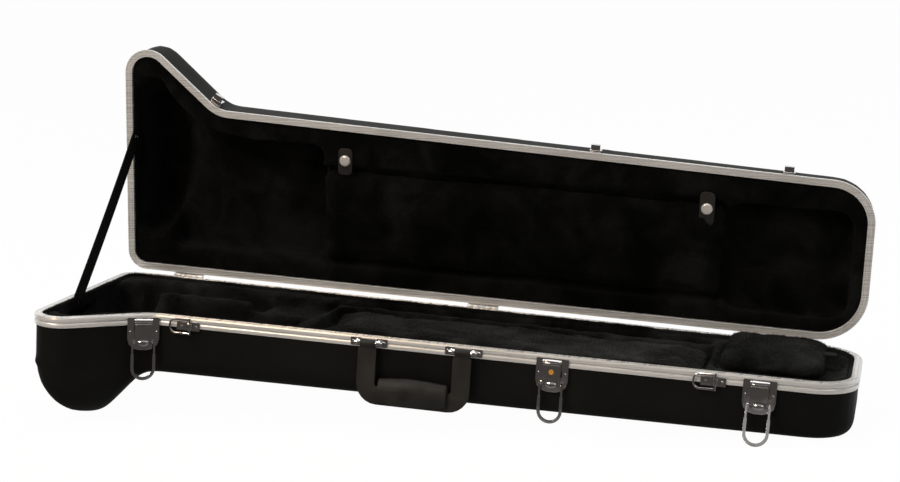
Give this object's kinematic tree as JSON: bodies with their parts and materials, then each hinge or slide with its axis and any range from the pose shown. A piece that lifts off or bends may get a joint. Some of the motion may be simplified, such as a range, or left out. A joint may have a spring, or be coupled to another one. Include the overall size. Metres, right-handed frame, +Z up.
{
  "type": "trombone case",
  "caption": "Open moulded case for a tenor trombone: hinged black shells with a bell bulge, metal valance, plush-lined wells, draw latches, shoulder rings and a swinging handle.",
  "frame": {"origin": "bottom centre of the open case's bounding box, on the floor that it stands on", "axes": "+X along the case from the bell end to the tail, +Y towards the hinge side, +Z up. The case leans about 4.25 degrees down towards the tail, because the bell bulge props up the other end"},
  "size_m": [0.9796, 0.4108, 0.4366],
  "materials": {
    "shell": "black moulded ABS with a fine grain, slightly satin",
    "valance": "satin anodised extrusion",
    "plush": "black short-pile plush over foam",
    "pad": "black plush brushed lighter on top",
    "chrome": "bright chrome plate on pressed steel",
    "nickel": "polished nickel plate",
    "brass": "polished",
    "vinyl": "soft dark grey vinyl",
    "webbing": "black woven polypropylene"
  },
  "bodies": {
    "base": {"base_shell": "shell", "base_trim": "valance", "base_liner": "plush", "base_front_pad": "pad", "hinge_pin_1": "chrome", "hinge_base_leaf_1": "valance", "latch_plate_1": "chrome", "latch_pin_1": "chrome", "hinge_pin_2": "chrome", "hinge_base_leaf_2": "valance", "latch_plate_2": "chrome", "latch_pin_2": "chrome", "hinge_pin_3": "chrome", "hinge_base_leaf_3": "valance", "latch_plate_3": "chrome", "latch_pin_3": "chrome", "ring_clip_1": "chrome", "ring_clip_2": "chrome", "handle_bar_1": "chrome", "handle_bar_2": "chrome", "handle_clip_1": "chrome", "handle_clip_2": "chrome", "handle_clip_3": "chrome", "handle_clip_4": "chrome", "stay_strap": "webbing", "stay_anchor_base": "chrome"},
    "lid": {"lid_shell": "shell", "lid_trim": "valance", "lid_liner": "plush", "lid_pad": "plush", "hinge_lid_leaf_1": "valance", "keeper_1": "chrome", "hinge_lid_leaf_2": "valance", "keeper_2": "chrome", "hinge_lid_leaf_3": "valance", "keeper_3": "chrome", "snap_stud_1": "nickel", "snap_stud_2": "nickel", "stay_anchor_lid": "chrome"},
    "lever_1": {"latch_lever_1": "chrome"},
    "lever_2": {"latch_lever_2": "chrome"},
    "lever_3": {"latch_lever_3": "chrome"},
    "bail_1": {"latch_bail_1": "chrome"},
    "bail_2": {"latch_bail_2": "chrome"},
    "bail_3": {"latch_bail_3": "chrome"},
    "lock": {"lock_cylinder": "brass"},
    "handle": {"handle_strap": "vinyl", "handle_grip": "vinyl"},
    "ring_1": {"d_ring_1": "chrome"},
    "ring_2": {"d_ring_2": "chrome"},
    "cover": {"accessory_cover": "plush", "accessory_pull_tab": "plush"},
    "tab_1": {"lid_tab_1": "vinyl", "snap_cap_1": "nickel"},
    "tab_2": {"lid_tab_2": "vinyl", "snap_cap_2": "nickel"}
  },
  "joints": [
    {"name": "lid_hinge", "type": "hinge", "parent": "base", "child": "lid", "pos_m": [-0.00255, 0.09452, 0.10301], "axis": [-0.9972, 0, 0.0743], "range_deg": [-84.5, 0], "deforming": ["stay_strap"]},
    {"name": "latch_lever_1_pivot", "type": "hinge", "parent": "base", "child": "lever_1", "pos_m": [-0.35873, -0.14697, 0.12311], "axis": [-0.8831, -0.4646, 0.0658], "range_deg": [0, 100]},
    {"name": "latch_lever_2_pivot", "type": "hinge", "parent": "base", "child": "lever_2", "pos_m": [0.1352, -0.12374, 0.08633], "axis": [-0.9968, -0.0287, 0.0742], "range_deg": [0, 100]},
    {"name": "latch_lever_3_pivot", "type": "hinge", "parent": "base", "child": "lever_3", "pos_m": [0.37158, -0.11694, 0.06873], "axis": [-0.9968, -0.0287, 0.0742], "range_deg": [0, 100]},
    {"name": "latch_bail_1_pivot", "type": "hinge", "parent": "lever_1", "child": "bail_1", "pos_m": [-0.36041, -0.14759, 0.09606], "axis": [0.8831, 0.4646, -0.0658], "range_deg": [-180, 0]},
    {"name": "latch_bail_2_pivot", "type": "hinge", "parent": "lever_2", "child": "bail_2", "pos_m": [0.13321, -0.12444, 0.05931], "axis": [0.9968, 0.0287, -0.0742], "range_deg": [-180, 0]},
    {"name": "latch_bail_3_pivot", "type": "hinge", "parent": "lever_3", "child": "bail_3", "pos_m": [0.36959, -0.11764, 0.04171], "axis": [0.9968, 0.0287, -0.0742], "range_deg": [-150.2, 29.8]},
    {"name": "lock_turn", "type": "hinge", "parent": "lever_2", "child": "lock", "pos_m": [0.13435, -0.12374, 0.07496], "axis": [0.0286, -0.9996, -0.0021], "range_deg": [0, 90]},
    {"name": "handle_swing", "type": "hinge", "parent": "base", "child": "handle", "pos_m": [-0.02625, -0.13048, 0.09835], "axis": [-0.9968, -0.0287, 0.0742], "range_deg": [0, 165]},
    {"name": "ring_swing_1", "type": "hinge", "parent": "base", "child": "ring_1", "pos_m": [-0.30494, -0.13548, 0.11489], "axis": [0.0743, 0, 0.9972], "range_deg": [0, 150]},
    {"name": "ring_swing_2", "type": "hinge", "parent": "base", "child": "ring_2", "pos_m": [0.32133, -0.11748, 0.06826], "axis": [0.0743, 0, 0.9972], "range_deg": [0, 150]},
    {"name": "cover_hinge", "type": "hinge", "parent": "base", "child": "cover", "pos_m": [0.31743, -0.00228, 0.0857], "axis": [0, -1, 0], "range_deg": [0, 100]},
    {"name": "lid_tab_1_fold", "type": "hinge", "parent": "lid", "child": "tab_1", "pos_m": [-0.17024, 0.07883, 0.30716], "axis": [-0.9972, 0, 0.0743], "range_deg": [0, 100]},
    {"name": "lid_tab_2_fold", "type": "hinge", "parent": "lid", "child": "tab_2", "pos_m": [0.29029, 0.08027, 0.25792], "axis": [-0.9972, 0, 0.0743], "range_deg": [0, 100]}
  ]
}
